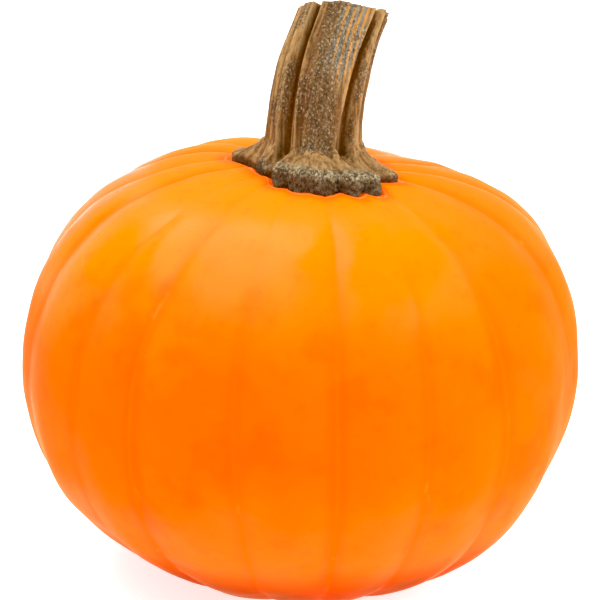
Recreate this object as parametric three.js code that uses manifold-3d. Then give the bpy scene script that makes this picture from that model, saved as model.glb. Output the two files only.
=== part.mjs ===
// A small ribbed pumpkin with its woody stalk, standing on its blossom end.
// Millimetres, +Z up, the floor at z = 0. An azimuth is measured round the upright axis,
// from the front (-Y) towards the right (+X).

import * as THREE from 'three';
import { mergeVertices } from 'three/addons/utils/BufferGeometryUtils.js';
import Module from 'manifold-3d';

const wasm = await Module();
wasm.setup();

const TURN = 2 * Math.PI;
const degrees = (angle) => (angle * Math.PI) / 180;

// ---------------------------------------------------------------- driving dimensions

// The fruit is half a superellipsoid above its equator and half below, ribbed and dimpled.
const EQUATOR_RADIUS = 80;
const EQUATOR_LEVEL = 64.6; // above the floor, which flattens the lowest parts of the ribs
const AXIS_PLACE = { x: 0.5, y: 0.2 }; // centres the whole on the origin
const UPPER_HEIGHT = 61;
const LOWER_HEIGHT = 70.5;
const UPPER_FULLNESS = 2.25;
const LOWER_FULLNESS = 1.95;
const CROWN_DIMPLE = { depth: 4.5, radius: 25 };
const BLOSSOM_DIMPLE = { depth: 9, radius: 19 };
const BLOSSOM_SCAR = { rise: 1.4, radius: 5 };

// The crown leans to the right: the lean grows between these two latitudes.
const CROWN_LEAN = degrees(4.5);
const CROWN_SHIFT = -1.2;
const LEAN_STARTS = degrees(-10);
const LEAN_ENDS = degrees(50);

// Where the fruit grew fuller, or less full, than the even form.
const BULGE_WIDTH = degrees(45);
const BULGE_HEIGHT = degrees(24);
const BULGES = [
  { azimuth: 90, latitude: 45, rise: 4 },
  { azimuth: -90, latitude: 48, rise: -0.4 },
  { azimuth: -90, latitude: -25, rise: 2.8 },
  { azimuth: 78, latitude: -45, rise: 3.3 },
  { azimuth: 140, latitude: 68, rise: -1.3 },
];

// The grooves between the ribs. Drift is how far a groove has turned, in degrees, when it
// reaches the crown. Depth is set against an average groove: at the equator, and at the crown.
const GROOVES = [
  { azimuth: -76, drift: 2, depth: 1.3, crown: 0.8 },
  { azimuth: -52, drift: 4, depth: 0.8, crown: 0.3 },
  { azimuth: -36, drift: 3, depth: 1.1, crown: 0.4 },
  { azimuth: -13, drift: -2, depth: 0.7, crown: 0.25 },
  { azimuth: 7, drift: 0, depth: 1, crown: 0.35 },
  { azimuth: 25.5, drift: 1, depth: 0.8, crown: 0.2 },
  { azimuth: 45, drift: -2, depth: 1, crown: 0.4 },
  { azimuth: 73, drift: 0, depth: 1.3, crown: 0.8 },
  { azimuth: 95, drift: -2, depth: 0.9, crown: 0.6 },
  { azimuth: 117, drift: 2, depth: 1.2, crown: 1.1 },
  { azimuth: 138, drift: 3, depth: 0.8, crown: 0.4 },
  { azimuth: 161, drift: -2, depth: 1.2, crown: 1 },
  { azimuth: 182, drift: 1, depth: 0.9, crown: 0.5 },
  { azimuth: 204, drift: -3, depth: 1.2, crown: 1.1 },
  { azimuth: 227, drift: 2, depth: 0.8, crown: 0.5 },
  { azimuth: 247, drift: 0, depth: 1.1, crown: 1 },
  { azimuth: 266, drift: 2, depth: 0.9, crown: 0.6 },
];

// Groove depth as a share of the rib's width there, and how sharp the valley is.
const EQUATOR_GROOVE = 0.034;
const CROWN_GROOVE = 0.085;
const BASE_GROOVE = 0.06;
const RIB_ROUNDNESS = 2.6;
const CROWN_STARTS = degrees(5);
const CROWN_ENDS = degrees(58);
const BASE_STARTS = degrees(10);
const BASE_ENDS = degrees(60);

// How fine the skin is: columns across each rib, and degrees between the rows of each band.
const COLUMNS_PER_RIB = 6;
const LOWEST_ROW = -88;
const ROW_BANDS = [
  { end: -70, step: 2 },
  { end: -58, step: 4 },
  { end: 40, step: 7 },
  { end: 85, step: 4.5 },
];

// The stalk: a five-ridged shaft that leans right and back, on a foot of knuckled toes.
const STALK_LENGTH = 41.5;
const STALK_LEAN = { right: 7.8, back: 10, bend: 2.6 };
const RIDGE_RADIUS = { foot: 13.9, waist: 13.4, top: 12.4 };
const RIDGE_FALL = 0.7; // how much lower a ridge is at its sides than along its middle

// The furrows between the ridges have flat floors. Drift is how far one has turned at the cut.
const FURROWS = [
  { azimuth: -39, drift: 5, depth: 2.9, width: 8.5 },
  { azimuth: 38, drift: 18, depth: 2.7, width: 10 },
  { azimuth: 118, drift: 5, depth: 2.8, width: 10 },
  { azimuth: 190, drift: 4, depth: 2.8, width: 10 },
  { azimuth: 257, drift: 3, depth: 2.8, width: 10 },
];
const FURROW_TAPER = 0.4; // the share of its width that a furrow loses on its way to the cut
const FINE_FURROWS = [
  { azimuth: -64, depth: 0.8, width: 6 },
  { azimuth: -18, depth: 0.7, width: 7 },
  { azimuth: 74, depth: 0.6, width: 5 },
  { azimuth: 90, depth: 0.8, width: 6 },
  { azimuth: 157, depth: 1, width: 8 },
  { azimuth: 225, depth: 0.9, width: 8 },
];

// The cut across the stalk's end slopes, stands up on one shoulder and is dished.
const CUT = { azimuth: -108, slope: 0.16, dish: 1.8 };
const CUT_SHOULDER = { azimuth: 85, rise: 3, width: 40 };
const CUT_RINGS = [
  { share: 0.88, drop: -0.3 },
  { share: 0.6, drop: 1.26 },
];

// The toes of the foot: how far each reaches from the stalk's axis, and how high its end is.
const TOE_GAP = { reach: 16.5, knuckle: 1.8 };
const FURROW_REACH = 0.5; // how much of the flare a furrow cuts away as it runs down the foot
const TOES = [
  { azimuth: -96, reach: 23.2, width: 15, knuckle: 2.6 },
  { azimuth: -56, reach: 18.4, width: 11, knuckle: 3.8 },
  { azimuth: -26, reach: 22.6, width: 12, knuckle: 5.2 },
  { azimuth: -8, reach: 23.6, width: 19, knuckle: 5.4 },
  { azimuth: 7, reach: 25, width: 19, knuckle: 5.5 },
  { azimuth: 27, reach: 26.6, width: 14, knuckle: 5.6 },
  { azimuth: 40, reach: 28.2, width: 12, knuckle: 4.8 },
  { azimuth: 67, reach: 25.4, width: 12, knuckle: 3 },
  { azimuth: 118, reach: 20.5, width: 13, knuckle: 2.4 },
  { azimuth: 155, reach: 21.5, width: 13, knuckle: 3.4 },
  { azimuth: 195, reach: 22.5, width: 13, knuckle: 2.8 },
  { azimuth: 230, reach: 21, width: 13, knuckle: 3.2 },
];

// A low toe slopes straight down to its tip, and a high one has a shelf with a steep end.
// The flare is how far the foot rises from a toe's end to the shaft.
const LOW_TOE = { knuckle: 1.5, bend: 1.5, flare: 8 };
const HIGH_TOE = { knuckle: 5, bend: 2.6, flare: 4.4 };

// The foot from under the fruit's skin to the shaft: [share of the way out, share of knuckle].
const FOOT_PROFILE = [
  [1, 0.1],
  [1, 0.5],
  [0.95, 0.82],
  [0.85, 0.97],
  [0.7, 1],
  [0.52, 1],
  [0.34, 1],
  [0.18, 1],
  [0.06, 1],
];
const STALK_COLUMNS = 120;
const SHAFT_ROWS = 8;
const FOOT_SINK = 4; // how deep the foot reaches before the fruit is cut out of it
const SEAT_GAP = 0.3;

// ---------------------------------------------------------------- small helpers

const mix = THREE.MathUtils.lerp;
const smooth = THREE.MathUtils.smoothstep;
const bell = (distance, width) => Math.exp(-((distance / width) ** 2));

// The signed angle from one azimuth to another, in degrees.
function turnBetween(from, to) {
  return THREE.MathUtils.euclideanModulo(to - from + 180, 360) - 180;
}

// Where an azimuth lies between its two neighbours in a list of grooves that drift upwards.
function placeBetween(grooves, azimuth, rise) {
  const lines = grooves.map((groove) => groove.azimuth + groove.drift * rise);
  for (let i = 0; i < lines.length; i += 1) {
    const next = (i + 1) % lines.length;
    const span = THREE.MathUtils.euclideanModulo(lines[next] - lines[i], 360);
    const along = THREE.MathUtils.euclideanModulo(azimuth - lines[i], 360);
    if (along < span) {
      return { share: along / span, left: grooves[i], right: grooves[next] };
    }
  }
  return { share: 0, left: grooves[0], right: grooves[0] };
}

// A closed mesh from rows of points: each row is a ring, the first and last are single points.
function skin(rows) {
  const positions = [];
  const corner = (point) => positions.push(point.x, point.y, point.z);
  for (let i = 0; i + 1 < rows.length; i += 1) {
    const lower = rows[i];
    const upper = rows[i + 1];
    const count = Math.max(lower.length, upper.length);
    for (let j = 0; j < count; j += 1) {
      const k = (j + 1) % count;
      if (lower.length > 1) {
        [lower[j], lower[k], upper[upper.length > 1 ? k : 0]].forEach(corner);
      }
      if (upper.length > 1) {
        [lower[lower.length > 1 ? j : 0], upper[k], upper[j]].forEach(corner);
      }
    }
  }
  const geometry = new THREE.BufferGeometry();
  geometry.setAttribute('position', new THREE.Float32BufferAttribute(positions, 3));
  return mergeVertices(geometry, 1e-4);
}

function solidFrom(geometry) {
  const vertProperties = Float32Array.from(geometry.attributes.position.array);
  const triVerts = Uint32Array.from(geometry.index.array);
  return new wasm.Manifold(new wasm.Mesh({ numProp: 3, vertProperties, triVerts }));
}

function geometryFrom(solid) {
  const mesh = solid.getMesh();
  const geometry = new THREE.BufferGeometry();
  geometry.setAttribute('position', new THREE.BufferAttribute(mesh.vertProperties, 3));
  geometry.setIndex(new THREE.BufferAttribute(mesh.triVerts, 1));
  return geometry;
}

// ---------------------------------------------------------------- the fruit

// How far the valley between two ribs lies below their crests, at a place on the fruit.
function grooveDepth(azimuth, latitude, radius) {
  const place = placeBetween(GROOVES, azimuth, latitude / degrees(90));
  const ribWidth = (TURN * radius) / GROOVES.length;
  const crownShare = smooth(latitude, CROWN_STARTS, CROWN_ENDS);
  const baseShare = smooth(-latitude, BASE_STARTS, BASE_ENDS);
  const deepest = EQUATOR_GROOVE
    + (CROWN_GROOVE - EQUATOR_GROOVE) * crownShare
    + (BASE_GROOVE - EQUATOR_GROOVE) * baseShare;
  const leftDepth = mix(place.left.depth, place.left.crown, crownShare);
  const rightDepth = mix(place.right.depth, place.right.crown, crownShare);
  const strength = mix(leftDepth, rightDepth, smooth(place.share, 0, 1));
  const across = Math.abs(2 * place.share - 1);
  const sharpValley = across ** RIB_ROUNDNESS;
  const softValley = (1 - Math.cos(Math.PI * across)) / 2;
  const sharpness = Math.max(crownShare, baseShare);
  return ribWidth * deepest * strength * mix(softValley, sharpValley, sharpness);
}

// A point of the fruit's skin, in space; raised moves it outwards.
function fruitPoint(azimuth, latitude, raised = 0) {
  const upper = latitude > 0;
  const height = upper ? UPPER_HEIGHT : LOWER_HEIGHT;
  const fullness = upper ? UPPER_FULLNESS : LOWER_FULLNESS;
  const across = Math.cos(latitude);
  const up = Math.sin(latitude);
  const reach = (across ** fullness + Math.abs(up) ** fullness) ** (-1 / fullness);
  let radius = EQUATOR_RADIUS * across * reach;
  let level = height * up * reach;

  // the skin's own direction, from the superellipse
  const outwards = (across * reach) ** (fullness - 1) / EQUATOR_RADIUS;
  const upwards = (Math.sign(up) * (Math.abs(up) * reach) ** (fullness - 1)) / height;
  const steepness = Math.hypot(outwards, upwards);

  if (upper) {
    level -= CROWN_DIMPLE.depth * bell(radius, CROWN_DIMPLE.radius);
  } else {
    level += BLOSSOM_DIMPLE.depth * bell(radius, BLOSSOM_DIMPLE.radius);
    level -= BLOSSOM_SCAR.rise * Math.exp(-((radius / BLOSSOM_SCAR.radius) ** 4));
  }

  const offset = raised - grooveDepth(azimuth, latitude, radius);
  radius += (offset * outwards) / steepness;
  level += (offset * upwards) / steepness;

  for (const bulge of BULGES) {
    const rise = bulge.rise
      * bell(degrees(turnBetween(bulge.azimuth, azimuth)), BULGE_WIDTH)
      * bell(latitude - degrees(bulge.latitude), BULGE_HEIGHT);
    radius += rise * across;
    level += rise * up;
  }

  const leaning = smooth(latitude, LEAN_STARTS, LEAN_ENDS);
  const lean = CROWN_LEAN * leaning;
  const right = radius * Math.sin(degrees(azimuth));
  const back = -radius * Math.cos(degrees(azimuth));
  const x = right * Math.cos(lean) + level * Math.sin(lean) + CROWN_SHIFT * leaning;
  const z = EQUATOR_LEVEL - right * Math.sin(lean) + level * Math.cos(lean);
  return new THREE.Vector3(AXIS_PLACE.x + x, AXIS_PLACE.y + back, Math.max(z, -raised));
}

// The latitudes of the rows, closer together round the blossom end and on the crown.
function fruitLatitudes() {
  const rows = [];
  let angle = LOWEST_ROW;
  for (const band of ROW_BANDS) {
    while (angle < band.end) {
      rows.push(degrees(angle));
      angle += band.step;
    }
  }
  return rows;
}

function fruitRow(latitude, raised) {
  const rise = latitude / degrees(90);
  const row = [];
  GROOVES.forEach((groove, i) => {
    const next = GROOVES[(i + 1) % GROOVES.length];
    const start = groove.azimuth + groove.drift * rise;
    const end = next.azimuth + next.drift * rise;
    const span = THREE.MathUtils.euclideanModulo(end - start, 360);
    for (let j = 0; j < COLUMNS_PER_RIB; j += 1) {
      row.push(fruitPoint(start + (span * j) / COLUMNS_PER_RIB, latitude, raised));
    }
  });
  return row;
}

function fruitGeometry(raised = 0) {
  const rings = fruitLatitudes().map((latitude) => fruitRow(latitude, raised));
  const bottom = [fruitPoint(0, degrees(-90), raised)];
  const top = [fruitPoint(0, degrees(90), raised)];
  return skin([bottom, ...rings, top]);
}

// ---------------------------------------------------------------- the stalk

const crown = fruitPoint(0, degrees(90));

// The fruit's skin under the foot, at a distance from the fruit's axis.
function crownPoint(azimuth, radius) {
  const share = radius / EQUATOR_RADIUS;
  const rise = (1 - share ** UPPER_FULLNESS) ** (1 / UPPER_FULLNESS);
  return fruitPoint(azimuth, Math.atan2(rise, share));
}

// How far an azimuth lies in the flat floor of one furrow, from 0 to 1.
function floorOf(furrow, azimuth, rise) {
  const turn = turnBetween(furrow.azimuth + furrow.drift * rise, azimuth);
  const width = furrow.width * (1 - FURROW_TAPER * rise);
  return Math.exp(-((turn / width) ** 4));
}

// The foot's shape at an azimuth: its reach, its end's height, and the flare above that.
function footAt(azimuth) {
  let { reach, knuckle } = TOE_GAP;
  for (const toe of TOES) {
    const here = bell(turnBetween(toe.azimuth, azimuth), toe.width);
    reach = Math.max(reach, mix(TOE_GAP.reach, toe.reach, here));
    knuckle = Math.max(knuckle, mix(TOE_GAP.knuckle, toe.knuckle, here));
  }
  const steepness = smooth(knuckle, LOW_TOE.knuckle, HIGH_TOE.knuckle);
  let flare = mix(LOW_TOE.flare, HIGH_TOE.flare, steepness);
  for (const furrow of FURROWS) {
    flare *= 1 - FURROW_REACH * floorOf(furrow, azimuth, 0);
  }
  return { reach, knuckle, flare, bend: mix(LOW_TOE.bend, HIGH_TOE.bend, steepness) };
}

// The shaft's radius at an azimuth; rise runs from 0 at the foot to 1 at the cut.
function shaftRadius(azimuth, rise) {
  const { share } = placeBetween(FURROWS, azimuth, rise);
  const lowerPart = mix(RIDGE_RADIUS.foot, RIDGE_RADIUS.waist, Math.min(rise * 2, 1));
  let radius = mix(lowerPart, RIDGE_RADIUS.top, smooth(rise, 0.5, 1));
  radius -= RIDGE_FALL * (2 * share - 1) ** 2;
  for (const furrow of FURROWS) {
    radius -= furrow.depth * floorOf(furrow, azimuth, rise);
  }
  for (const furrow of FINE_FURROWS) {
    radius -= furrow.depth * bell(turnBetween(furrow.azimuth, azimuth), furrow.width);
  }
  return radius;
}

// A point of the stalk at a height along it, at a radius from its bent centre line.
function shaftPoint(azimuth, radius, along) {
  const share = Math.max(along, 0) / STALK_LENGTH;
  const curve = share ** STALK_LEAN.bend;
  const slope = (STALK_LEAN.bend * share ** (STALK_LEAN.bend - 1)) / STALK_LENGTH;
  const centre = new THREE.Vector3(STALK_LEAN.right * curve, STALK_LEAN.back * curve, along);
  const tangent = new THREE.Vector3(STALK_LEAN.right * slope, STALK_LEAN.back * slope, 1);
  tangent.normalize();
  const right = new THREE.Vector3(1, 0, 0).addScaledVector(tangent, -tangent.x).normalize();
  const back = new THREE.Vector3().crossVectors(tangent, right);
  return centre
    .addScaledVector(right, radius * Math.sin(degrees(azimuth)))
    .addScaledVector(back, -radius * Math.cos(degrees(azimuth)))
    .add(crown);
}

// A ring of the stalk, from the point that a rule gives at each azimuth.
function stalkRing(pointAt) {
  return Array.from({ length: STALK_COLUMNS }, (_, j) => pointAt((360 * j) / STALK_COLUMNS));
}

// A ring of the foot, which follows the fruit's skin.
function footRing(out, knuckleShare) {
  return stalkRing((azimuth) => {
    const { reach, knuckle, flare, bend } = footAt(azimuth);
    const radius = mix(shaftRadius(azimuth, 0), reach, out);
    const seat = crownPoint(azimuth, radius).z - crown.z;
    const height = knuckle * knuckleShare + flare * (1 - out) ** bend;
    return shaftPoint(azimuth, radius, height + seat * Math.min(out * 2, 1));
  });
}

// The ring that the foot ends in, under the fruit's skin.
function sunkRing() {
  return stalkRing((azimuth) => {
    const { reach } = footAt(azimuth);
    return shaftPoint(azimuth, reach, crownPoint(azimuth, reach).z - crown.z - FOOT_SINK);
  });
}

// How far the cut lies below the stalk's end.
function cutDrop(azimuth, radius) {
  const slope = CUT.slope * Math.cos(degrees(azimuth - CUT.azimuth));
  const turn = turnBetween(CUT_SHOULDER.azimuth, azimuth);
  const shoulder = (CUT_SHOULDER.rise * bell(turn, CUT_SHOULDER.width)) / RIDGE_RADIUS.top;
  return radius * (slope - shoulder);
}

// A ring of the shaft; rise runs from the top of the foot to the slanting cut.
function shaftRing(rise) {
  return stalkRing((azimuth) => {
    const { knuckle, flare } = footAt(azimuth);
    const radius = shaftRadius(azimuth, rise);
    const end = STALK_LENGTH - cutDrop(azimuth, radius);
    return shaftPoint(azimuth, radius, mix(knuckle + flare, end, rise));
  });
}

// A ring of the cut face, drawn in towards its middle and dished.
function cutRing(share, drop) {
  return stalkRing((azimuth) => {
    const radius = shaftRadius(azimuth, 1) * share;
    return shaftPoint(azimuth, radius, STALK_LENGTH - cutDrop(azimuth, radius) - drop);
  });
}

function stalkGeometry() {
  const rows = [[shaftPoint(0, 0, -FOOT_SINK)], sunkRing()];
  for (const [out, knuckleShare] of FOOT_PROFILE) {
    rows.push(footRing(out, knuckleShare));
  }
  for (let i = 0; i <= SHAFT_ROWS; i += 1) {
    rows.push(shaftRing(i / SHAFT_ROWS));
  }
  for (const { share, drop } of CUT_RINGS) {
    rows.push(cutRing(share, drop));
  }
  rows.push([shaftPoint(0, 0, STALK_LENGTH - CUT.dish)]);
  const whole = solidFrom(skin(rows));
  return geometryFrom(whole.subtract(solidFrom(fruitGeometry(SEAT_GAP))));
}

// ---------------------------------------------------------------- the part

function piece(name, geometry, color, roughness) {
  const mesh = new THREE.Mesh(
    geometry,
    new THREE.MeshStandardMaterial({ color, roughness, metalness: 0 }),
  );
  mesh.name = name;
  return mesh;
}

const pumpkin = new THREE.Group();
pumpkin.add(piece('fruit', fruitGeometry(), 0xe8720c, 0.38));
pumpkin.add(piece('stalk', stalkGeometry(), 0x8a7446, 0.85));

export default pumpkin;
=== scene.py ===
import math

import bpy
import numpy as np
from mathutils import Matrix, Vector, noise


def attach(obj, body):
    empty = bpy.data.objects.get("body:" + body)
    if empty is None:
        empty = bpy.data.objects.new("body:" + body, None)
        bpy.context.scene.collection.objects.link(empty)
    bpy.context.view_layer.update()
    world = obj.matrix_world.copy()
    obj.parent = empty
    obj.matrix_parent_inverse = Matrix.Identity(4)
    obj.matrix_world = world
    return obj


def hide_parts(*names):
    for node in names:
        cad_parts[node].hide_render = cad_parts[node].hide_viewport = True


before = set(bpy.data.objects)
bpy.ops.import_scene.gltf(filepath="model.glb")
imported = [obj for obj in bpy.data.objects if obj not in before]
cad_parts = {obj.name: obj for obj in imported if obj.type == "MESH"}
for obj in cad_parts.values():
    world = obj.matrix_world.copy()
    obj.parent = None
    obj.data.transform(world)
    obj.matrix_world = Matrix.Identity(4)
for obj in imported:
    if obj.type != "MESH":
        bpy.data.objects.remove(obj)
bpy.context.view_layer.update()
MM = 0.001

# ---------------------------------------------------------------- driving dimensions

# The fruit is half a superellipsoid above its equator and half below, ribbed and dimpled.
EQUATOR_RADIUS = 80 * MM
EQUATOR_LEVEL = 64.6 * MM
AXIS_PLACE = (0.5 * MM, 0.2 * MM)
UPPER_HEIGHT = 61 * MM
LOWER_HEIGHT = 70.5 * MM
UPPER_FULLNESS = 2.25
LOWER_FULLNESS = 1.95
CROWN_DIMPLE = (4.5 * MM, 25 * MM)  # depth, radius
BLOSSOM_DIMPLE = (9 * MM, 19 * MM)
BLOSSOM_SCAR = (1.4 * MM, 5 * MM)  # rise, radius

CROWN_LEAN = math.radians(4.5)
CROWN_SHIFT = -1.2 * MM
LEAN_STARTS = math.radians(-10)
LEAN_ENDS = math.radians(50)

# Where the fruit grew fuller, or less full: azimuth, latitude, rise.
BULGE_WIDTH = math.radians(45)
BULGE_HEIGHT = math.radians(24)
BULGES = (
    (90, 45, 4 * MM),
    (-90, 48, -0.4 * MM),
    (-90, -25, 2.8 * MM),
    (78, -45, 3.3 * MM),
    (140, 68, -1.3 * MM),
)

# The grooves: azimuth, drift at the crown, depth at the equator, depth at the crown.
GROOVES = np.array((
    (-76, 2, 1.3, 0.8),
    (-52, 4, 0.8, 0.3),
    (-36, 3, 1.1, 0.4),
    (-13, -2, 0.7, 0.25),
    (7, 0, 1, 0.35),
    (25.5, 1, 0.8, 0.2),
    (45, -2, 1, 0.4),
    (73, 0, 1.3, 0.8),
    (95, -2, 0.9, 0.6),
    (117, 2, 1.2, 1.1),
    (138, 3, 0.8, 0.4),
    (161, -2, 1.2, 1),
    (182, 1, 0.9, 0.5),
    (204, -3, 1.2, 1.1),
    (227, 2, 0.8, 0.5),
    (247, 0, 1.1, 1),
    (266, 2, 0.9, 0.6),
))

# Groove depth as a share of the rib's width there, and how sharp the valley is.
EQUATOR_GROOVE = 0.034
CROWN_GROOVE = 0.085
BASE_GROOVE = 0.06
RIB_ROUNDNESS = 2.6
CROWN_STARTS = math.radians(5)
CROWN_ENDS = math.radians(58)
BASE_STARTS = math.radians(10)
BASE_ENDS = math.radians(60)

# The stalk: a five-ridged shaft that leans right and back, on a foot of knuckled toes.
STALK_LENGTH = 41.5 * MM
STALK_LEAN_RIGHT = 7.8 * MM
STALK_LEAN_BACK = 10 * MM
STALK_BEND = 2.6
RIDGE_RADII = (13.9 * MM, 13.4 * MM, 12.4 * MM)  # foot, waist, top
RIDGE_FALL = 0.7 * MM
FURROWS = np.array((  # azimuth, drift, depth in mm, width
    (-39, 5, 2.9, 8.5),
    (38, 18, 2.7, 10),
    (118, 5, 2.8, 10),
    (190, 4, 2.8, 10),
    (257, 3, 2.8, 10),
))
FURROW_TAPER = 0.4  # the share of its width that a furrow loses on its way to the cut
FINE_FURROWS = (  # azimuth, depth, width
    (-64, 0.8 * MM, 6),
    (-18, 0.7 * MM, 7),
    (74, 0.6 * MM, 5),
    (90, 0.8 * MM, 6),
    (157, 1 * MM, 8),
    (225, 0.9 * MM, 8),
)
CUT_AZIMUTH = -108
CUT_SLOPE = 0.16
CUT_DISH = 1.8 * MM
CUT_SHOULDER = (85, 3 * MM, 40)  # azimuth, rise, width

TOE_GAP = (16.5 * MM, 1.8 * MM)  # reach, knuckle
FURROW_REACH = 0.5  # how much of the flare a furrow cuts away as it runs down the foot
TOES = (  # azimuth, reach, width, knuckle
    (-96, 23.2 * MM, 15, 2.6 * MM),
    (-56, 18.4 * MM, 11, 3.8 * MM),
    (-26, 22.6 * MM, 12, 5.2 * MM),
    (-8, 23.6 * MM, 19, 5.4 * MM),
    (7, 25 * MM, 19, 5.5 * MM),
    (27, 26.6 * MM, 14, 5.6 * MM),
    (40, 28.2 * MM, 12, 4.8 * MM),
    (67, 25.4 * MM, 12, 3 * MM),
    (118, 20.5 * MM, 13, 2.4 * MM),
    (155, 21.5 * MM, 13, 3.4 * MM),
    (195, 22.5 * MM, 13, 2.8 * MM),
    (230, 21 * MM, 13, 3.2 * MM),
)
LOW_TOE = (1.5 * MM, 1.5, 8 * MM)  # knuckle, bend, flare
HIGH_TOE = (5 * MM, 2.6, 4.4 * MM)
FOOT_SINK = 2.5 * MM

# The foot's outline: share of the way out to the toe's tip, and share of the knuckle.
FOOT_OUTS = (1, 1, 1, 0.95, 0.85, 0.7, 0.52, 0.34, 0.18, 0.06, 0)
FOOT_KNUCKLES = (0, 0.1, 0.5, 0.82, 0.97, 1, 1, 1, 1, 1, 1)

# The rind's fine forms. Those on the crown are placed by their way out from the toes.
DENTS = (  # length, depth, seed
    (31 * MM, 0.28 * MM, 3),
    (11 * MM, 0.1 * MM, 5),
    (3.4 * MM, 0.02 * MM, 8),
)
CREASE_WIDTH = 0.6 * MM
CREASE_DEPTH = 0.3 * MM
CREASE_FAR_SHARE = 0.12  # how much of its depth a crease keeps away from the foot
VALLEY_WIDTH = 1.1 * MM
# how wide the painted shade along each groove spreads
GROOVE_SHADE_WIDTH = 3.4 * MM
LINE_CHANGES = (math.radians(15), math.radians(60))  # from equator to crown strength
ON_CROWN = (math.radians(40), math.radians(60))
NEAR_FOOT = 10 * MM
# how far the painted shade in the hollow round the stalk's foot spreads
DIMPLE_SHADE_WIDTH = 6 * MM
MOAT = (0.2 * MM, 1.6 * MM)  # way out, width
MOAT_DEPTH = 0.35 * MM
LIP = (1.9 * MM, 0.9 * MM)
LIP_RISE = 0.22 * MM
NICKS = (1.2 * MM, 2.2 * MM)
NICK_DEPTH = 0.35 * MM
COLLAR = (3 * MM, 3 * MM)  # where the fruit swells against the foot
COLLAR_RISE = 0.9 * MM
COLLAR_AZIMUTH = -62
COLLAR_WIDTH = 24
UNDERSIDE = (math.radians(50), math.radians(70))
SCAR_EDGE = (4.6 * MM, 6.4 * MM)
SCAR_RING = (5.6 * MM, 1.1 * MM)  # radius, width
SCAR_RING_RISE = 0.35 * MM
SCAR_RAYS = 13
SCAR_RAY_RISE = 0.22 * MM
RESTING = (0.1 * MM, 1.2 * MM)  # heights between which these forms fade to the flat rest

# The stalk's markings and its streaks of painted shade, in azimuths.
CORK_AZIMUTH = 4
CORK_WIDTH = 19
STRIPE_AZIMUTH = 22
STRIPE_WIDTH = 20
STRIPES_AROUND = 39
LOW_STRIPE_AZIMUTH = -2
LOW_STRIPE_WIDTH = 9
BRIGHT_EDGES = (  # azimuth, drift, width
    (-51, 3, 2.2),
    (-33, 7, 2),
    (38, 10, 3),
    (60, 9, 2.5),
)
# dark streaks of painted shade down the stalk
SHADE_STREAKS = (  # azimuth, drift, width
    (-19, 4, 6),
    (-63, 3, 4),
    (72, 6, 5),
)

# The stalk's fine forms: spacing of the grain, how it stretches, and how far it rises.
CORD_SPACING = 1.7 * MM
THREAD_SPACING = 0.75 * MM
LUMP_SPACING = 3.2 * MM
WART_SPACING = 1.05 * MM
PATCH_SPACING = 6 * MM
FIBRE_STRETCH = np.array([1, 1, 0.07])
THREAD_STRETCH = np.array([1, 1, 1.6])
PATCH_STRETCH = np.array([1, 1, 0.5])
FAN_SPACING = 0.05  # in radians round the foot, as its fans follow the azimuth
FAN_LENGTH = 90 * MM
TOE_ROUGHENS = (2 * MM, 4 * MM)  # the heights of toe between which its end turns rough
CORD_RISE = 0.34 * MM
THREAD_RISE = 0.16 * MM
CORK_RISE = 0.2 * MM
STRIPE_RISE = 0.16 * MM
EDGE_RISE = 0.2 * MM
FOOT_RISES = (0.4 * MM, 0.24 * MM, 0.12 * MM)  # lumps, fans, warts
TOE_RISES = (0.25 * MM, 0.3 * MM, 0.3 * MM)
CUT_RISES = (0.3 * MM, 0.4 * MM, 0.16 * MM)  # lumps, rays, warts
CUT_RAYS = 5
CUT_RIM_DEPTH = 0.5 * MM

# How fine the two skins are. The fruit's rows are spread evenly along one meridian.
FRUIT_COLUMNS_PER_RIB = 20
FRUIT_ROWS = 275
MERIDIAN = 19.0
MERIDIAN_STEPS = 4000
POLE_LATITUDE = 89.8
STALK_COLUMNS = 400
STALK_ROWS = (62, 118, 34)  # foot, shaft, cut face
FOOT_ROUNDING = 9  # how many times the foot's outline is evened out


# ---------------------------------------------------------------- small helpers

TURN = 2 * math.pi
POLE = math.pi / 2
WAVE_COUNT = 14
WAVE_STRETCH = (0.75, 1.35)
GRAIN_FALL = 0.8  # how fast the finer octaves weaken, and how much finer each one is
GRAIN_STEP = 2.0


def mix(a, b, share):
    return a + (b - a) * share


def smooth(value, low, high):
    share = np.clip((value - low) / (high - low), 0, 1)
    return share * share * (3 - 2 * share)


def bell(distance, width):
    return np.exp(-((distance / width) ** 2))


def plateau(distance, width):
    """As bell, but flatter in the middle and steeper at the sides."""
    return np.exp(-((distance / width) ** 4))


def turn_between(start, end):
    """The signed angle from one azimuth to another, in degrees."""
    return (end - start + 180) % 360 - 180


def place_between(azimuth, rise, grooves):
    """The share of the way across, and the grooves to the left and right, at an azimuth."""
    lines = grooves[:, 0] + grooves[:, 1] * rise[..., None]
    along = (azimuth[..., None] - lines) % 360
    left = along.argmin(-1)
    right = (left + 1) % len(grooves)
    reached = np.take_along_axis(along, left[..., None], -1)[..., 0]
    starts = np.take_along_axis(lines, left[..., None], -1)[..., 0]
    ends = np.take_along_axis(lines, right[..., None], -1)[..., 0]
    return reached / ((ends - starts) % 360), left, right


def waves(points, length, seed):
    """A smooth field of about -1 to 1: plane waves of about one length, in random directions."""
    draw = np.random.default_rng(seed)
    ways = draw.normal(size=(WAVE_COUNT, 3))
    ways /= np.linalg.norm(ways, axis=1, keepdims=True)
    turns = draw.uniform(0, TURN, WAVE_COUNT)
    stretch = draw.uniform(*WAVE_STRETCH, WAVE_COUNT)
    field = np.zeros(points.shape[:-1])
    for way, turn, stretched in zip(ways, turns, stretch):
        field += np.cos(points @ way * (TURN / length * stretched) + turn)
    return field / math.sqrt(2 * WAVE_COUNT)


def grain(points, spacing, octaves=2):
    """Fractal noise of about -1 to 1 at each point, with features one spacing apart."""
    flat = points.reshape(-1, 3) / spacing
    values = [noise.fractal(Vector(p), GRAIN_FALL, GRAIN_STEP, octaves) for p in flat]
    return np.array(values).reshape(points.shape[:-1])


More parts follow.
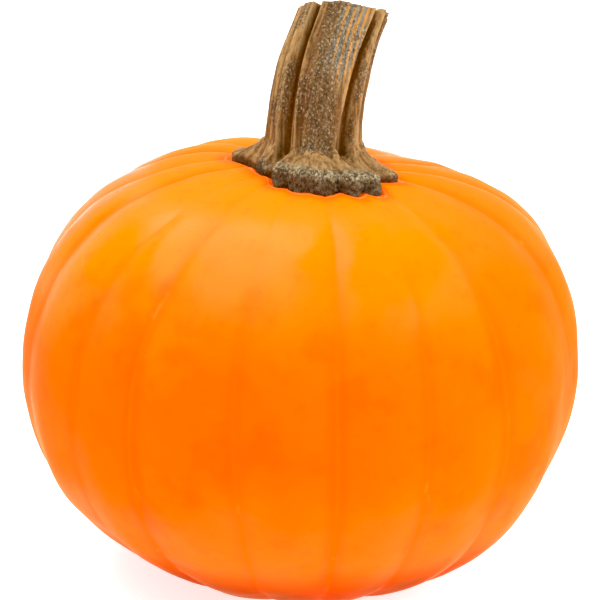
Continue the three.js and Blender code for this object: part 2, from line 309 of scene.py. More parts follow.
def skin(name, rows, first, last, fields):
    """A closed mesh of rings of points between two single points, with fields on its points."""
    ring_count, columns = rows.shape[:2]
    points = np.concatenate([first[None], rows.reshape(-1, 3), last[None]])
    ring = 1 + np.arange(columns)
    beside = np.roll(ring, -1)
    faces = [(0, right, left) for left, right in zip(ring.tolist(), beside.tolist())]
    for low in range(0, (ring_count - 1) * columns, columns):
        high = low + columns
        quads = np.stack([low + ring, low + beside, high + beside, high + ring], axis=1)
        faces.extend(quads.tolist())
    top = (ring_count - 1) * columns
    end = len(points) - 1
    faces.extend(
        (top + left, top + right, end) for left, right in zip(ring.tolist(), beside.tolist())
    )
    mesh = bpy.data.meshes.new(name)
    mesh.from_pydata(points.tolist(), [], faces)
    mesh.shade_smooth()
    for field, values in fields.items():
        attribute = mesh.attributes.new(field, "FLOAT", "POINT")
        padded = np.concatenate([[values[0].mean()], values.reshape(-1), [values[-1].mean()]])
        attribute.data.foreach_set("value", padded.astype(np.float32))
    mesh.update()
    piece = bpy.data.objects.new(name, mesh)
    bpy.context.scene.collection.objects.link(piece)
    return piece


def normals_of(rows):
    """The outward normals of a grid of rings of points."""
    around = np.roll(rows, -1, axis=1) - np.roll(rows, 1, axis=1)
    up = np.gradient(rows, axis=0)
    across = np.cross(around, up)
    return across / (np.linalg.norm(across, axis=-1, keepdims=True) + 1e-12)


# ---------------------------------------------------------------- the fruit's form

def groove_depth(azimuth, latitude, radius):
    """How far the grooves cut into the fruit: nothing at mid-rib, the most at a groove's line."""
    share, left, right = place_between(azimuth, latitude / POLE, GROOVES)
    rib_width = TURN * radius / len(GROOVES)
    crown_share = smooth(latitude, CROWN_STARTS, CROWN_ENDS)
    base_share = smooth(-latitude, BASE_STARTS, BASE_ENDS)
    deepest = (
        EQUATOR_GROOVE
        + (CROWN_GROOVE - EQUATOR_GROOVE) * crown_share
        + (BASE_GROOVE - EQUATOR_GROOVE) * base_share
    )
    left_depth = mix(GROOVES[left, 2], GROOVES[left, 3], crown_share)
    right_depth = mix(GROOVES[right, 2], GROOVES[right, 3], crown_share)
    strength = mix(left_depth, right_depth, smooth(share, 0, 1))
    across = np.abs(2 * share - 1)
    sharp_valley = across ** RIB_ROUNDNESS
    soft_valley = (1 - np.cos(math.pi * across)) / 2
    sharpness = np.maximum(crown_share, base_share)
    return rib_width * deepest * strength * mix(soft_valley, sharp_valley, sharpness)


def fruit_points(azimuth, latitude):
    """Points of the fruit's skin in space."""
    upper = latitude > 0
    height = np.where(upper, UPPER_HEIGHT, LOWER_HEIGHT)
    fullness = np.where(upper, UPPER_FULLNESS, LOWER_FULLNESS)
    across = np.abs(np.cos(latitude))
    up = np.sin(latitude)
    reach = (across ** fullness + np.abs(up) ** fullness) ** (-1 / fullness)
    radius = EQUATOR_RADIUS * across * reach
    level = height * up * reach

    # the skin's own direction, from the superellipse
    outwards = (across * reach) ** (fullness - 1) / EQUATOR_RADIUS
    upwards = np.sign(up) * (np.abs(up) * reach) ** (fullness - 1) / height
    steepness = np.hypot(outwards, upwards)

    crown_depth, crown_width = CROWN_DIMPLE
    blossom_depth, blossom_width = BLOSSOM_DIMPLE
    scar_rise, scar_width = BLOSSOM_SCAR
    crown_dip = crown_depth * bell(radius, crown_width)
    blossom_dip = blossom_depth * bell(radius, blossom_width)
    blossom_dip = blossom_dip - scar_rise * plateau(radius, scar_width)
    level = level + np.where(upper, -crown_dip, blossom_dip)

    cut = groove_depth(azimuth, latitude, radius)
    radius = radius - cut * outwards / steepness
    level = level - cut * upwards / steepness

    for bulge_azimuth, bulge_latitude, bulge_rise in BULGES:
        rise = (
            bulge_rise
            * bell(np.radians(turn_between(bulge_azimuth, azimuth)), BULGE_WIDTH)
            * bell(latitude - math.radians(bulge_latitude), BULGE_HEIGHT)
        )
        radius = radius + rise * across
        level = level + rise * up

    leaning = smooth(latitude, LEAN_STARTS, LEAN_ENDS)
    lean = CROWN_LEAN * leaning
    right = radius * np.sin(np.radians(azimuth))
    back = -radius * np.cos(np.radians(azimuth))
    x = right * np.cos(lean) + level * np.sin(lean) + CROWN_SHIFT * leaning
    z = EQUATOR_LEVEL - right * np.sin(lean) + level * np.cos(lean)
    return np.stack([AXIS_PLACE[0] + x, AXIS_PLACE[1] + back, np.maximum(z, 0)], axis=-1)


def latitude_at(radius):
    """The latitude on the upper half where the fruit's skin is that far from its axis."""
    share = radius / EQUATOR_RADIUS
    rise = (1 - share ** UPPER_FULLNESS) ** (1 / UPPER_FULLNESS)
    return np.arctan2(rise, share)


CROWN = fruit_points(np.zeros(1), np.full(1, POLE))[0]


# ---------------------------------------------------------------- the stalk's form

def furrow_at(azimuth, rise):
    """How far an azimuth lies in the flat floor of a furrow, and what the furrows take away."""
    floor = np.zeros_like(azimuth)
    taken = np.zeros_like(azimuth)
    for furrow_azimuth, drift, depth, width in FURROWS:
        turn = turn_between(furrow_azimuth + drift * rise, azimuth)
        here = plateau(turn, width * (1 - FURROW_TAPER * rise))
        floor = np.maximum(floor, here)
        taken = taken + depth * MM * here
    return floor, taken


def foot_at(azimuth):
    """The foot's reach, its end's height, the flare above that, and how the flare bends."""
    gap_reach, gap_knuckle = TOE_GAP
    low_knuckle, low_bend, low_flare = LOW_TOE
    high_knuckle, high_bend, high_flare = HIGH_TOE
    reach = np.full_like(azimuth, gap_reach)
    knuckle = np.full_like(azimuth, gap_knuckle)
    for toe_azimuth, toe_reach, toe_width, toe_knuckle in TOES:
        here = bell(turn_between(toe_azimuth, azimuth), toe_width)
        reach = np.maximum(reach, mix(gap_reach, toe_reach, here))
        knuckle = np.maximum(knuckle, mix(gap_knuckle, toe_knuckle, here))
    steepness = smooth(knuckle, low_knuckle, high_knuckle)
    furrow_floor, _ = furrow_at(azimuth, np.zeros_like(azimuth))
    flare = mix(low_flare, high_flare, steepness) * (1 - FURROW_REACH * furrow_floor)
    return reach, knuckle, flare, mix(low_bend, high_bend, steepness)


def shaft_radius(azimuth, rise):
    """The shaft's radius, with its ridges and furrows, at a share of its length."""
    foot, waist, top = RIDGE_RADII
    share, _, _ = place_between(azimuth, rise, FURROWS)
    radius = mix(mix(foot, waist, np.minimum(rise * 2, 1)), top, smooth(rise, 0.5, 1))
    radius = radius - RIDGE_FALL * (2 * share - 1) ** 2 - furrow_at(azimuth, rise)[1]
    for fine_azimuth, fine_depth, fine_width in FINE_FURROWS:
        radius = radius - fine_depth * bell(turn_between(fine_azimuth, azimuth), fine_width)
    return radius


def shaft_points(azimuth, radius, along):
    """Points of the stalk at a height along it, at a radius from its bent centre line."""
    share = np.maximum(along, 0) / STALK_LENGTH
    curve = share ** STALK_BEND
    slope = STALK_BEND * share ** (STALK_BEND - 1) / STALK_LENGTH
    centre = np.stack([STALK_LEAN_RIGHT * curve, STALK_LEAN_BACK * curve, along], axis=-1)
    tangent = np.stack(
        [STALK_LEAN_RIGHT * slope, STALK_LEAN_BACK * slope, np.ones_like(slope)], axis=-1
    )
    tangent /= np.linalg.norm(tangent, axis=-1, keepdims=True)
    right = np.array([1.0, 0, 0]) - tangent * tangent[..., :1]
    right /= np.linalg.norm(right, axis=-1, keepdims=True)
    back = np.cross(tangent, right)
    turned = np.radians(azimuth)
    sideways = right * (radius * np.sin(turned))[..., None]
    forwards = back * (-radius * np.cos(turned))[..., None]
    return CROWN + centre + sideways + forwards


def cut_drop(azimuth, radius):
    """How far the cut lies below the stalk's end."""
    shoulder_azimuth, shoulder_rise, shoulder_width = CUT_SHOULDER
    slope = CUT_SLOPE * np.cos(np.radians(azimuth - CUT_AZIMUTH))
    shoulder = shoulder_rise * bell(turn_between(shoulder_azimuth, azimuth), shoulder_width)
    return radius * (slope - shoulder / RIDGE_RADII[2])


# ---------------------------------------------------------------- the fruit's skin

def even_latitudes(count):
    """Latitudes from pole to pole, an even distance apart along the skin."""
    fine = np.radians(np.linspace(-POLE_LATITUDE, POLE_LATITUDE, MERIDIAN_STEPS))
    line = fruit_points(np.full_like(fine, MERIDIAN), fine)
    steps = np.linalg.norm(np.diff(line, axis=0), axis=1)
    walked = np.concatenate([[0], np.cumsum(steps)])
    return np.interp(np.linspace(0, walked[-1], count), walked, fine)


def make_fruit():
    latitude = even_latitudes(FRUIT_ROWS)
    shares = np.arange(FRUIT_COLUMNS_PER_RIB) / FRUIT_COLUMNS_PER_RIB
    lines = GROOVES[:, 0] + GROOVES[:, 1] * (latitude / POLE)[:, None]
    spans = (np.roll(lines, -1, axis=1) - lines) % 360
    azimuth = (lines[:, :, None] + spans[:, :, None] * shares).reshape(len(latitude), -1)
    latitude = np.repeat(latitude[:, None], azimuth.shape[1], axis=1)
    smooth_skin = fruit_points(azimuth, latitude)
    turned = np.radians(azimuth)

    # the grooves' lines
    share, left, right = place_between(azimuth, latitude / POLE, GROOVES)
    nearest = np.where(share < 0.5, left, right)
    crown_offsets = smooth_skin[..., :2] - CROWN[:2]
    from_crown = np.hypot(crown_offsets[..., 0], crown_offsets[..., 1])
    to_line = np.minimum(share, 1 - share) * TURN * from_crown / len(GROOVES)
    crown_share = smooth(latitude, *LINE_CHANGES)
    line_strength = mix(GROOVES[nearest, 2], GROOVES[nearest, 3], crown_share)
    crease = bell(to_line, CREASE_WIDTH) * line_strength

    # the toes press a shallow moat with a thin raised lip, nicked here and there, into the crown
    from_toes = from_crown - foot_at(azimuth)[0]
    on_crown = smooth(latitude, *ON_CROWN)
    near_foot = on_crown * bell(np.maximum(from_toes, 0), NEAR_FOOT)

    def beside_toes(way_out, width):
        return bell(from_toes - way_out, width) * on_crown

    moat = beside_toes(*MOAT)
    lip = beside_toes(*LIP)
    collar = bell(turn_between(COLLAR_AZIMUTH, azimuth), COLLAR_WIDTH) * beside_toes(*COLLAR)
    nick_lines = np.cos(turned * 29 + 1.3 * np.sin(turned * 5))
    nick_places = np.cos(turned * 7 + 2.2) + np.cos(turned * 11 + 0.6)
    nicks = smooth(nick_lines, 0.86, 1) * smooth(nick_places, 0.7, 1.6) * beside_toes(*NICKS)

    # the scar where the blossom was
    ring_radius, ring_width = SCAR_RING
    scar_reach = np.hypot(smooth_skin[..., 0], smooth_skin[..., 1])
    below = smooth(-latitude, *UNDERSIDE)
    scar = below * (1 - smooth(scar_reach, *SCAR_EDGE))
    scar_ring = below * bell(scar_reach - ring_radius, ring_width)
    scar_rays = np.cos(turned * SCAR_RAYS) * scar

    offset = sum(depth * waves(smooth_skin, length, seed) for length, depth, seed in DENTS)
    offset = (
        offset
        - CREASE_DEPTH * crease * mix(CREASE_FAR_SHARE, 1, near_foot)
        - MOAT_DEPTH * moat
        + LIP_RISE * lip
        + COLLAR_RISE * collar
        - NICK_DEPTH * nicks
        + SCAR_RING_RISE * scar_ring
        + SCAR_RAY_RISE * scar_rays
    )
    offset = offset * smooth(smooth_skin[..., 2], *RESTING)
    rows = smooth_skin + normals_of(smooth_skin) * offset[..., None]
    rows[..., 2] = np.maximum(rows[..., 2], 0)
    fields = {
        "pale_crease": np.clip(crease * near_foot, 0, 1),
        "valley": bell(to_line, VALLEY_WIDTH) * line_strength * (1 - near_foot),
        "groove_shade": bell(to_line, GROOVE_SHADE_WIDTH) * line_strength * (1 - near_foot),
        "lip": np.clip(lip * 0.6 + nicks, 0, 1),
        "scar": np.clip(scar + 0.8 * scar_ring, 0, 1),
        "dimple_shade": on_crown * bell(np.maximum(from_toes, 0), DIMPLE_SHADE_WIDTH),
    }
    return skin("pumpkin_rind", rows, rows[0].mean(axis=0), rows[-1].mean(axis=0), fields)


# ---------------------------------------------------------------- the stalk's skin

def strongest_line(lines, azimuth, rise):
    """How near an azimuth lies to the nearest of some narrow drifting lines, from 0 to 1."""
    strength = np.zeros_like(azimuth)
    for line_azimuth, drift, width in lines:
        turn = turn_between(line_azimuth + drift * rise, azimuth)
        strength = np.maximum(strength, bell(turn, width))
    return strength


def make_stalk():
    foot_count, shaft_count, cut_count = STALK_ROWS
    around = np.arange(STALK_COLUMNS) * 360 / STALK_COLUMNS

    def ring_of(values):
        """A row of equal values for each value."""
        return np.repeat(values[:, None], STALK_COLUMNS, axis=1)

    def rounded(rows):
        """Rows with their corners rounded off, by evening out each with its neighbours."""
        for _ in range(FOOT_ROUNDING):
            rows[1:-1] = (rows[:-2] + 2 * rows[1:-1] + rows[2:]) / 4
        return rows

    def stack(foot, shaft, cut):
        """The foot's, the shaft's and the cut's rows in one; a number fills its rows."""
        parts = zip((foot, shaft, cut), STALK_ROWS)
        return np.concatenate([np.broadcast_to(v, (rows, STALK_COLUMNS)) for v, rows in parts])

    # the foot
    azimuth = np.repeat(around[None], foot_count, axis=0)
    reach, knuckle, flare, bend = foot_at(azimuth)
    progress = ring_of(np.linspace(0, 1, foot_count))
    steps = np.linspace(0, 1, len(FOOT_OUTS))
    out = rounded(np.interp(progress, steps, FOOT_OUTS))
    foot_rise = np.zeros_like(azimuth)
    foot_radius = mix(shaft_radius(azimuth, foot_rise), reach, out)
    seat = fruit_points(azimuth, latitude_at(foot_radius))[..., 2] - CROWN[2]
    knuckle_share = rounded(np.interp(progress, steps, FOOT_KNUCKLES))
    height = knuckle * knuckle_share + flare * (1 - out) ** bend
    height = height - FOOT_SINK * (1 - smooth(progress, 0, steps[1]))
    foot_along = height + seat * np.minimum(out * 2, 1)

    # the shaft
    shaft_azimuth = np.repeat(around[None], shaft_count, axis=0)
    shaft_rise = ring_of(np.linspace(0, 1, shaft_count + 1)[1:])
    radius = shaft_radius(shaft_azimuth, shaft_rise)
    start = (knuckle + flare)[:1]
    end = STALK_LENGTH - cut_drop(shaft_azimuth, radius)
    shaft_along = mix(start, end, shaft_rise)

    # the cut face, with a rounded rim and a dished middle
    cut_azimuth = np.repeat(around[None], cut_count, axis=0)
    inwards = ring_of(np.linspace(1, 0, cut_count + 2)[1:-1])
    cut_radius = shaft_radius(cut_azimuth, np.ones_like(cut_azimuth)) * inwards
    dish = CUT_DISH * (1 - inwards ** 2) - CUT_RIM_DEPTH * bell(inwards - 0.9, 0.07)
    cut_along = STALK_LENGTH - cut_drop(cut_azimuth, cut_radius) - dish

    azimuth = stack(azimuth, shaft_azimuth, cut_azimuth)
    radius = stack(foot_radius, radius, cut_radius)
    along = stack(foot_along, shaft_along, cut_along)
    rise = stack(0, shaft_rise, 1)
    on_cut = smooth(stack(0, 0, 1 - inwards), 0, 0.06)
    on_foot = stack(1 - smooth(progress, 0.5, 0.92), 0, 0)
    toe_height = stack(smooth(knuckle, *TOE_ROUGHENS), 0, 0)
    off_foot = stack(smooth(progress, 0.72, 1), 1, 1)

    # straightened places on the stalk, in which its fibres run up the Z axis
    turned = np.radians(azimuth)
    straight = np.stack([radius * np.sin(turned), -radius * np.cos(turned), along], axis=-1)
    fibres = straight * FIBRE_STRETCH
    cords = grain(fibres, CORD_SPACING)
    threads = grain(fibres * THREAD_STRETCH, THREAD_SPACING)
    lumps = grain(straight, LUMP_SPACING)
    warts = grain(straight + 0.05, WART_SPACING, 3)
    up_foot = stack(progress, 1, 1) + 0.07 * lumps + 0.03 * warts
    toe_end = (1 - smooth(up_foot, 0.3, 0.66)) * toe_height
    fan = np.stack([np.sin(turned), -np.cos(turned), radius / FAN_LENGTH], axis=-1)
    fans = grain(fan, FAN_SPACING, 3)
    furrow = furrow_at(azimuth, rise)[0] * off_foot * (1 - on_cut)

    # the front ridge is corky, and fine stripes run up to the cut on its right-hand side
    front_cork = bell(turn_between(CORK_AZIMUTH, azimuth), CORK_WIDTH)
    patches = smooth(grain(straight * PATCH_STRETCH + 0.1, PATCH_SPACING), 0, 0.45)
    corky = np.clip(front_cork + 0.6 * patches, 0, 1) * (1 - furrow) * off_foot
    striped = bell(turn_between(STRIPE_AZIMUTH, azimuth), STRIPE_WIDTH)
    striped = striped * smooth(rise, 0.3, 0.75) * (1 - furrow) * (1 - on_cut)
    low_stripes = bell(turn_between(LOW_STRIPE_AZIMUTH, azimuth), LOW_STRIPE_WIDTH)
    low_stripes = 0.4 * low_stripes * (1 - smooth(rise, 0.02, 0.26)) * off_foot
    striped = np.maximum(striped, low_stripes)
    stripes = np.cos(turned * STRIPES_AROUND + 3.4 * cords + 1.2 * threads)
    edge = strongest_line(BRIGHT_EDGES, azimuth, rise) * off_foot * (1 - on_cut)
    shade_streak = strongest_line(SHADE_STREAKS, azimuth, rise)
    shade_streak = shade_streak * smooth(rise, 0, 0.15) * (1 - on_cut)
    rays = np.cos(turned * CUT_RAYS + 0.4) * on_cut

    on_shaft = (1 - on_cut) * (1 - on_foot)
    foot_lump, foot_fan, foot_wart = FOOT_RISES
    toe_lump, toe_fan, toe_wart = TOE_RISES
    cut_lump, cut_ray, cut_wart = CUT_RISES
    offset = (
        on_shaft * (CORD_RISE * cords + THREAD_RISE * threads) * (1 - 0.5 * furrow)
        + on_shaft * corky * CORK_RISE * warts
        + striped * STRIPE_RISE * stripes
        + edge * EDGE_RISE
        + on_foot * (foot_lump * lumps + foot_fan * fans * (1 - toe_end) + foot_wart * warts)
        + toe_end * (toe_lump * lumps + toe_fan * fans + toe_wart * warts)
    )
    smooth_skin = shaft_points(azimuth, radius, along)
    rows = smooth_skin + normals_of(smooth_skin) * offset[..., None]
    rows[..., 2] += on_cut * (cut_lump * lumps + cut_ray * rays + cut_wart * warts)
    fields = {
        "furrow": furrow,
        "foot": on_foot,
        "toe_end": toe_end,
        # the foot's base next to the fruit, where shade is painted
        "foot_base_shade": on_foot * (1 - smooth(up_foot, 0.15, 0.42)),
        "cut": on_cut,
        "fibre": np.clip(0.5 + 0.5 * cords + 0.35 * threads, 0, 1),
        "cork": corky,
        "wart": np.clip(0.5 + 0.6 * warts, 0, 1),
        "striped": striped,
        "stripe": np.clip(0.5 + 0.5 * stripes, 0, 1),
        "edge": edge,
        "fan": np.clip(0.5 + 0.6 * fans, 0, 1),
        "shade_streak": shade_streak,
    }
    return skin("pumpkin_stalk", rows, rows[0].mean(axis=0), rows[-1].mean(axis=0), fields)


# ---------------------------------------------------------------- materials

class Surface:
    """A Principled material, with short calls for the nodes that feed it."""

    def __init__(self, name):
        self.colour = None  # the colours painted so far
        self.material = bpy.data.materials.new(name)
        self.material.use_nodes = True
        self.tree = self.material.node_tree
        self.shader = self.tree.nodes["Principled BSDF"]

    def node(self, kind, inputs=None, **settings):
        """A new node, with each input a value or the socket that feeds it."""
        made = self.tree.nodes.new(kind)
        for key, value in settings.items():
            setattr(made, key, value)
        for key, value in (inputs or {}).items():
            if isinstance(value, bpy.types.NodeSocket):
                self.tree.links.new(value, made.inputs[key])
            else:
                made.inputs[key].default_value = value
        return made

    def field(self, name):
        """One of the values that the skin's points carry."""
        return self.node("ShaderNodeAttribute", attribute_name=name).outputs["Fac"]

    def place(self, stretch=(1, 1, 1)):
        """Object coordinates, squeezed along each axis."""
        coordinates = self.node("ShaderNodeTexCoord").outputs["Object"]
        inputs = {0: coordinates, 1: stretch}
        return self.node("ShaderNodeVectorMath", inputs, operation="MULTIPLY").outputs[0]

    def noise(self, place, scale, detail=3.0, roughness=0.55):
        inputs = {"Vector": place, "Scale": scale, "Detail": detail, "Roughness": roughness}
        return self.node("ShaderNodeTexNoise", inputs).outputs["Fac"]

    def ramp(self, value, low, high, to_low=0.0, to_high=1.0):
        """A value mapped smoothly from one range to another."""
        inputs = {"Value": value, 1: low, 2: high, 3: to_low, 4: to_high}
        made = self.node("ShaderNodeMapRange", inputs, interpolation_type="SMOOTHSTEP")
        return made.outputs["Result"]

    def math(self, operation, a, b):
        return self.node("ShaderNodeMath", {0: a, 1: b}, operation=operation).outputs[0]

    def times(self, a, b):
        return self.math("MULTIPLY", a, b)

    def total(self, first, *others):
        for other in others:
            first = self.math("ADD", first, other)
        return first

    def blend(self, share, first, second):
        """Two colours, mixed by a share."""
        inputs = {0: share, 6: first, 7: second}
        return self.node("ShaderNodeMix", inputs, data_type="RGBA", blend_type="MIX").outputs[2]

    def paint(self, share, colour):
        """Lays a colour over those painted so far, by a share."""
        self.colour = self.blend(share, self.colour, colour)

    def bump(self, height, strength, distance, under=None):
        """The normal of a relief, on top of the one under it."""
        inputs = {"Height": height, "Strength": strength, "Distance": distance}
        if under is not None:
            inputs["Normal"] = under
        return self.node("ShaderNodeBump", inputs).outputs["Normal"]

    def set(self, **inputs):
        """Fills the shader's inputs; an underscore stands for a space in a name."""
        for key, value in inputs.items():
            socket = self.shader.inputs[key.replace("_", " ")]
            if isinstance(value, bpy.types.NodeSocket):
                self.tree.links.new(value, socket)
            else:
                socket.default_value = value


def rgb(red, green, blue):
    """An sRGB colour of 0 to 255, as linear light."""
    def linear(value):
        share = value / 255
        return share / 12.92 if share <= 0.04045 else ((share + 0.055) / 1.055) ** 2.4
    return (linear(red), linear(green), linear(blue), 1)


DEEP_ORANGE = rgb(244, 108, 0)
MID_ORANGE = rgb(244, 94, 0)
CROWN_ORANGE = rgb(246, 121, 0)
RED_ORANGE = rgb(238, 70, 0)
UNDER_SHADE_ORANGE = rgb(176, 58, 0)
GOLD_ORANGE = rgb(236, 118, 0)
PEACH = rgb(250, 158, 70)
PALE_LIP = rgb(252, 190, 118)
SCAR_BROWN = rgb(162, 122, 70)


# The levels between which the rind's colour and gloss change.
CLOUD_SHIFT = 8 * MM  # how far those levels wander up and down
FLANK_LEVELS = (15 * MM, 70 * MM)
CROWN_LEVELS = (75 * MM, 122 * MM)
# the levels and the sideways reach of the painted shade on the crown's right shoulder
SHOULDER_SHADE_LEVELS = (70 * MM, 100 * MM)
SHOULDER_SHADE_SIDE = (20 * MM, 60 * MM)
# the heights over which painted shade darkens the lowest part
UNDER_SHADE_LEVELS = (30 * MM, 10 * MM)
FLUSH_LEVELS = (115 * MM, 90 * MM)
POLISH_LEVELS = (80 * MM, 112 * MM)
BELLY_LEVELS = (55 * MM, 38 * MM)
LOW_LEVELS = (26 * MM, 10 * MM)
RIM_LEVELS = (117 * MM, 121 * MM)
FLANK_ROUGHNESS = 0.9
POLISHED_ROUGHNESS = 0.23

# How fine the rind's textures are.
CLOUDS = 24
PATCHES = 55
FRECKLES = 260
DASHES = 330
WAX = 45
PEEL = 240
PORES = 900


def rind_material():
    rind = Surface("pumpkin_rind")
    place = rind.place()
    axes = rind.node("ShaderNodeSeparateXYZ", {0: place}).outputs
    side, height = axes[0], axes[2]
    cloud = rind.noise(place, CLOUDS, 4)
    level = rind.total(height, rind.ramp(cloud, 0.3, 0.7, -CLOUD_SHIFT, CLOUD_SHIFT))
    rind.colour = rind.blend(rind.ramp(level, *FLANK_LEVELS), DEEP_ORANGE, MID_ORANGE)
    rind.paint(rind.ramp(level, *CROWN_LEVELS), CROWN_ORANGE)

    # painted shade: the crown's right shoulder is painted a deeper orange than its left
    shoulder = rind.times(rind.ramp(side, *SHOULDER_SHADE_SIDE), rind.ramp(level, *SHOULDER_SHADE_LEVELS))
    rind.paint(rind.times(shoulder, 0.6), MID_ORANGE)
    # painted shade: the lowest part darkens to a deep red-orange towards the floor
    rind.paint(rind.ramp(height, *UNDER_SHADE_LEVELS), UNDER_SHADE_ORANGE)

    # red and yellow patches, then freckles
    patches = rind.noise(place, PATCHES, 4)
    flush = rind.ramp(level, *FLUSH_LEVELS, 0.06, 0.3)
    rind.paint(rind.times(rind.ramp(patches, 0.5, 0.68), flush), RED_ORANGE)
    rind.paint(rind.ramp(patches, 0.46, 0.3, 0, 0.12), CROWN_ORANGE)
    rind.paint(rind.ramp(rind.noise(place, FRECKLES, 3), 0.54, 0.72, 0, 0.14), RED_ORANGE)

    # each groove is darkened with red-orange as painted shade, with a paler line along it, broken
    # into dashes
    rind.paint(rind.ramp(rind.field("groove_shade"), 0.1, 1, 0, 0.3), RED_ORANGE)
    valley = rind.field("valley")
    rind.paint(rind.ramp(valley, 0.2, 1, 0, 0.15), GOLD_ORANGE)
    dashes = rind.ramp(rind.noise(rind.place((1, 1, 0.2)), DASHES, 2), 0.62, 0.72, 0, 0.2)
    rind.paint(rind.times(dashes, valley), PEACH)

    # the marks round the stalk and underneath
    # painted shade: the hollow round the stalk's foot is painted red-orange
    rind.paint(rind.ramp(rind.field("dimple_shade"), 0.2, 1, 0, 0.6), RED_ORANGE)
    rind.paint(rind.ramp(rind.field("pale_crease"), 0.25, 0.85, 0, 0.45), PEACH)
    rind.paint(rind.ramp(rind.field("lip"), 0.3, 1, 0, 0.75), PALE_LIP)
    rind.paint(rind.ramp(rind.field("scar"), 0.2, 0.9), SCAR_BROWN)

    # glossy on the upper crown, satin on the lower belly, and dull on the flanks, in the
    # valleys and at both ends
    wax = rind.noise(place, WAX, 5, 0.6)
    roughness = rind.total(
        rind.ramp(level, *POLISH_LEVELS, FLANK_ROUGHNESS, POLISHED_ROUGHNESS),
        rind.ramp(valley, 0.2, 0.9, 0, 0.25),
        rind.ramp(level, *BELLY_LEVELS, 0, -0.28),
        rind.ramp(height, *LOW_LEVELS, 0, 0.5),
        rind.ramp(height, *RIM_LEVELS, 0, 0.45),
        rind.times(shoulder, 0.5),
        rind.ramp(wax, 0.35, 0.65, -0.05, 0.1),
    )
    relief = rind.bump(rind.noise(place, PEEL, 2), 0.15, 0.6 * MM)
    rind.set(
        Base_Color=rind.colour,
        Roughness=roughness,
        Normal=rind.bump(rind.noise(place, PORES, 2), 0.06, 0.2 * MM, relief),
        Specular_IOR_Level=0.15,
        IOR=1.42,
        Sheen_Weight=0.4,
        Sheen_Roughness=0.2,
        Sheen_Tint=(1, 0.7, 0.35, 1),
    )
    return rind.material


KHAKI = rgb(160, 126, 80)
BARK_BROWN = rgb(112, 78, 44)
# a dark brown for the fibres' dark streaks and for painted shade
GRAIN_AND_SHADE_BROWN = rgb(98, 60, 28)
ORANGE_TAN = rgb(196, 138, 66)
BLUE_GREY = rgb(112, 110, 98)
GREY_CORK = rgb(178, 168, 142)
DARK_CORK = rgb(64, 52, 32)
CORK_BROWN = rgb(96, 71, 45)
TOE_BROWN = rgb(128, 118, 90)
PITH_BROWN = rgb(140, 108, 66)
CUT_STRAW = rgb(196, 168, 116)


# How fine the stalk's textures are.
STREAKS = 900
SPECKS = 1700
STAINS = 420
FLECKS = 1000


